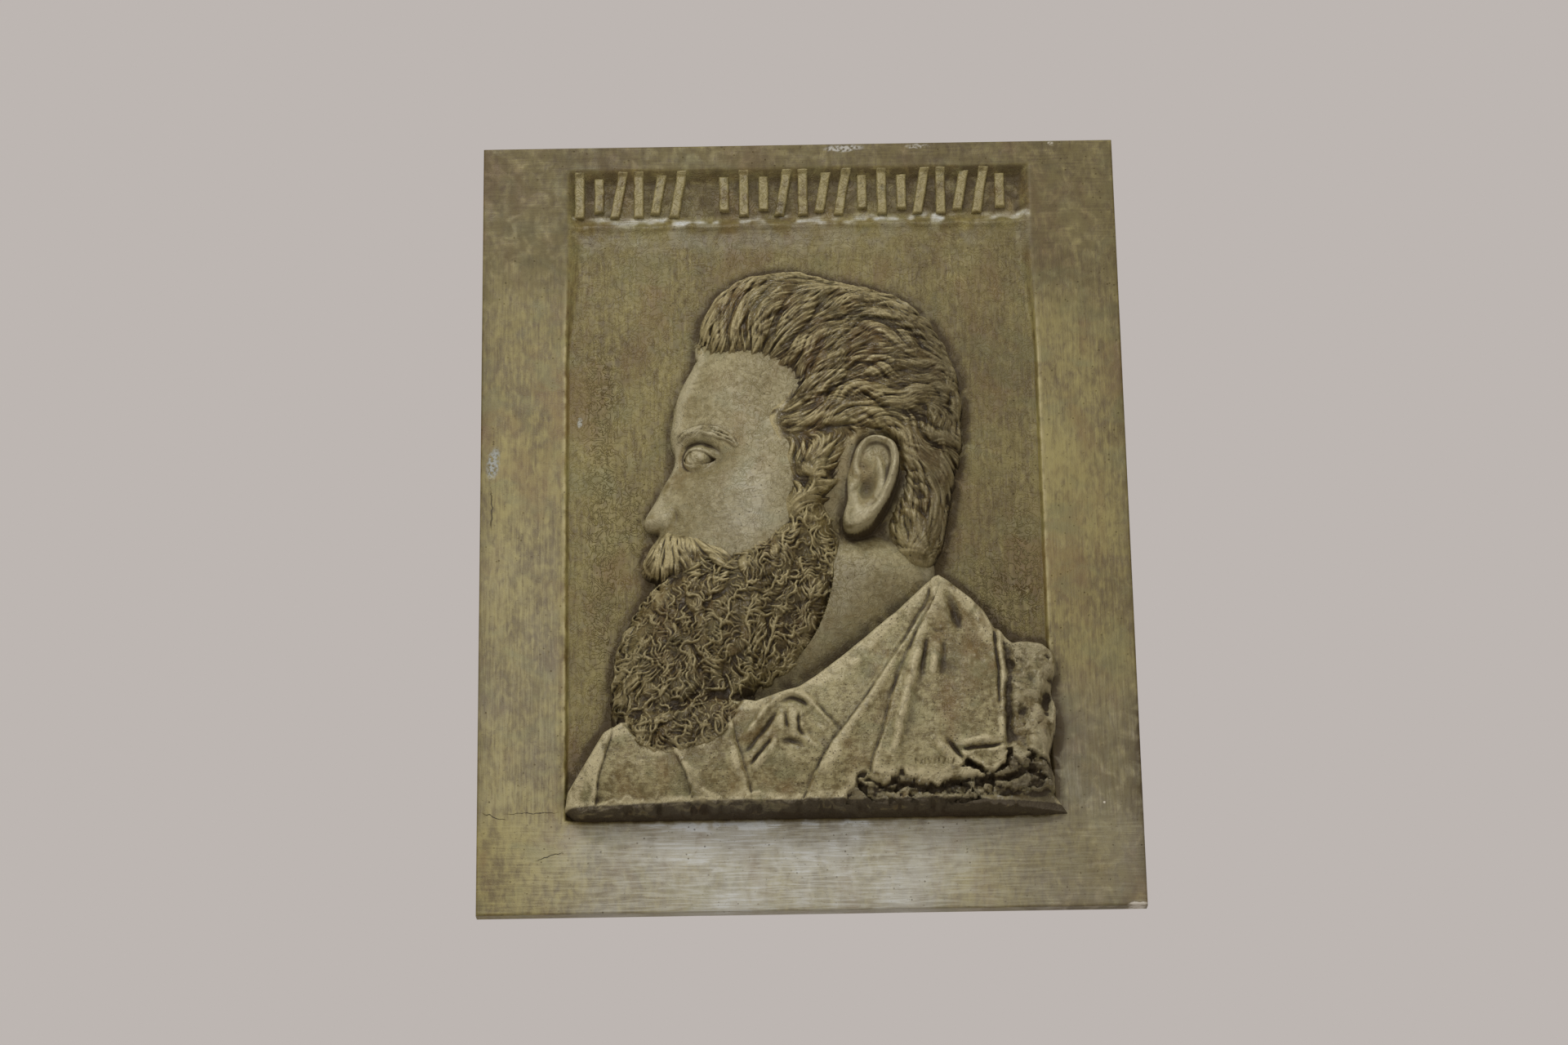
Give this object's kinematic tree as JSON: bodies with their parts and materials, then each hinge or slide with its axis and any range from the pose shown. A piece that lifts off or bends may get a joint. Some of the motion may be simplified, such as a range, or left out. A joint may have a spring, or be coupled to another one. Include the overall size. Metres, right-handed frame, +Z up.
{
  "type": "portrait bas-relief",
  "caption": "Upright wall plaque with a bearded head in left profile on a cut-off bust, in a sunk field with a stroke band above.",
  "frame": {"origin": "centre of the flat back, where it meets the wall", "axes": "+Y from the front into the wall, +Z up, +X to the right seen from the front"},
  "size_m": [0.48, 0.0614, 0.6],
  "materials": {
    "bronzed_plaster": "cast plaster sealed with an olive-brown bronze paint, rubbed lighter on the raised parts, dark in the hollows"
  },
  "bodies": {
    "root": {"portrait_relief": "bronzed_plaster"}
  },
  "joints": []
}
